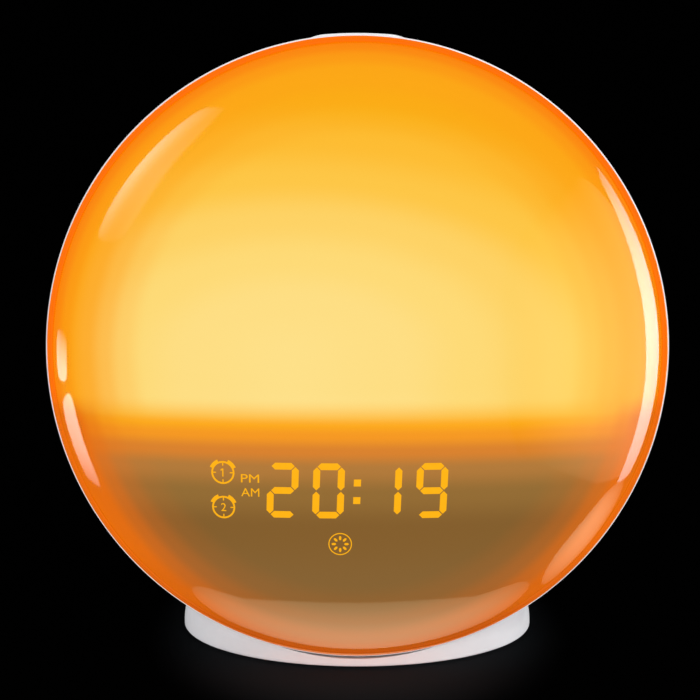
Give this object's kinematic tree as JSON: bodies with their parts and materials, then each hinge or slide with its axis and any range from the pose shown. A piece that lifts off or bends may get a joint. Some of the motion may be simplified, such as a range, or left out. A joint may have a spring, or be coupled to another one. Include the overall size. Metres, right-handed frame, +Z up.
{
  "type": "sunrise alarm clock",
  "caption": "Round sunrise alarm clock: a lit translucent dome with a digital display, a snooze key on top, side buttons, a rear speaker and an oval cradle base.",
  "frame": {"origin": "on the table under the middle of the clock's outline", "axes": "+Z up, -Y out of the lit front, +X to the right of someone who faces the clock"},
  "size_m": [0.168, 0.0946, 0.1698],
  "materials": {
    "lens": "glossy translucent, lit from behind",
    "white_shell": "glossy white",
    "white_key": "glossy white",
    "grey_key": "satin pale grey",
    "inner_white": "matt reflector white",
    "lamp_board": "white solder mask",
    "led": "lit diode",
    "circuit_board": "green solder mask",
    "black_plastic": "black moulded",
    "display_window": "amber diffuser",
    "steel": "plated steel",
    "dark_steel": "dark plated magnet",
    "screw_steel": "plated screw",
    "contact_brass": "plated contact",
    "foam": "closed-cell foam",
    "rubber": "matt rubber",
    "cone_paper": "coated paper",
    "ribbon": "flat cable",
    "wire_red": "insulated wire",
    "wire_black": "insulated wire",
    "wire_grey": "insulated wire"
  },
  "bodies": {
    "root": {"front_lens": "lens", "rear_housing": "white_shell", "inner_chassis": "inner_white", "light_shelf": "inner_white", "lamp_board": "lamp_board", "lamp_leds": "led", "display_board": "circuit_board", "display_leds": "led", "display_light_box": "black_plastic", "display_windows": "display_window", "main_board": "circuit_board", "main_chips": "black_plastic", "clock_cell_holder": "black_plastic", "clock_cell": "steel", "power_inlet": "black_plastic", "power_inlet_pin": "contact_brass", "speaker_gasket": "foam", "speaker_basket": "steel", "speaker_magnet": "dark_steel", "speaker_surround": "rubber", "speaker_screws": "screw_steel", "left_switch_board": "circuit_board", "right_switch_board": "circuit_board", "left_switches": "black_plastic", "right_switches": "black_plastic", "snooze_board": "circuit_board", "snooze_switch": "black_plastic", "lens_screws": "screw_steel", "housing_screws": "screw_steel", "board_screws": "screw_steel", "lamp_cable": "wire_red", "display_ribbon": "ribbon", "speaker_leads": "wire_black", "button_cables": "wire_grey", "snooze_cable": "wire_grey", "base_shell": "white_shell", "base_plate": "white_shell", "plate_screws": "screw_steel", "cradle_screws": "screw_steel", "foot_pads": "rubber"},
    "snooze": {"snooze_key": "white_key"},
    "cone": {"speaker_cone": "cone_paper"},
    "left_1": {"left_button_1": "grey_key"},
    "left_2": {"left_button_2": "grey_key"},
    "left_3": {"left_button_3": "grey_key"},
    "left_4": {"left_button_4": "grey_key"},
    "left_5": {"left_button_5": "grey_key"},
    "right_1": {"right_button_1": "grey_key"},
    "right_2": {"right_button_2": "grey_key"},
    "right_3": {"right_button_3": "grey_key"},
    "right_4": {"right_button_4": "grey_key"},
    "right_5": {"right_button_5": "grey_key"}
  },
  "joints": [
    {"name": "snooze_press", "type": "slide", "parent": "root", "child": "snooze", "axis": [0, -0.1564, -0.9877], "range_m": [0, 0.001], "stiffness_N_per_m": 1500, "springref_m": -0.0006},
    {"name": "cone_travel", "type": "slide", "parent": "root", "child": "cone", "axis": [0, -0.9877, 0.1564], "range_m": [-0.0004, 0.0004], "stiffness_N_per_m": 1200},
    {"name": "left_1_press", "type": "slide", "parent": "root", "child": "left_1", "axis": [1, 0, 0], "range_m": [0, 0.0006], "stiffness_N_per_m": 1200, "springref_m": -0.0006},
    {"name": "left_2_press", "type": "slide", "parent": "root", "child": "left_2", "axis": [1, 0, 0], "range_m": [0, 0.0006], "stiffness_N_per_m": 1200, "springref_m": -0.0006},
    {"name": "left_3_press", "type": "slide", "parent": "root", "child": "left_3", "axis": [1, 0, 0], "range_m": [0, 0.0006], "stiffness_N_per_m": 1200, "springref_m": -0.0006},
    {"name": "left_4_press", "type": "slide", "parent": "root", "child": "left_4", "axis": [1, 0, 0], "range_m": [0, 0.0006], "stiffness_N_per_m": 1200, "springref_m": -0.0006},
    {"name": "left_5_press", "type": "slide", "parent": "root", "child": "left_5", "axis": [1, 0, 0], "range_m": [0, 0.0006], "stiffness_N_per_m": 1200, "springref_m": -0.0006},
    {"name": "right_1_press", "type": "slide", "parent": "root", "child": "right_1", "axis": [-1, 0, 0], "range_m": [0, 0.0006], "stiffness_N_per_m": 1200, "springref_m": -0.0006},
    {"name": "right_2_press", "type": "slide", "parent": "root", "child": "right_2", "axis": [-1, 0, 0], "range_m": [0, 0.0006], "stiffness_N_per_m": 1200, "springref_m": -0.0006},
    {"name": "right_3_press", "type": "slide", "parent": "root", "child": "right_3", "axis": [-1, 0, 0], "range_m": [0, 0.0006], "stiffness_N_per_m": 1200, "springref_m": -0.0006},
    {"name": "right_4_press", "type": "slide", "parent": "root", "child": "right_4", "axis": [-1, 0, 0], "range_m": [0, 0.0006], "stiffness_N_per_m": 1200, "springref_m": -0.0006},
    {"name": "right_5_press", "type": "slide", "parent": "root", "child": "right_5", "axis": [-1, 0, 0], "range_m": [0, 0.0006], "stiffness_N_per_m": 1200, "springref_m": -0.0006}
  ]
}
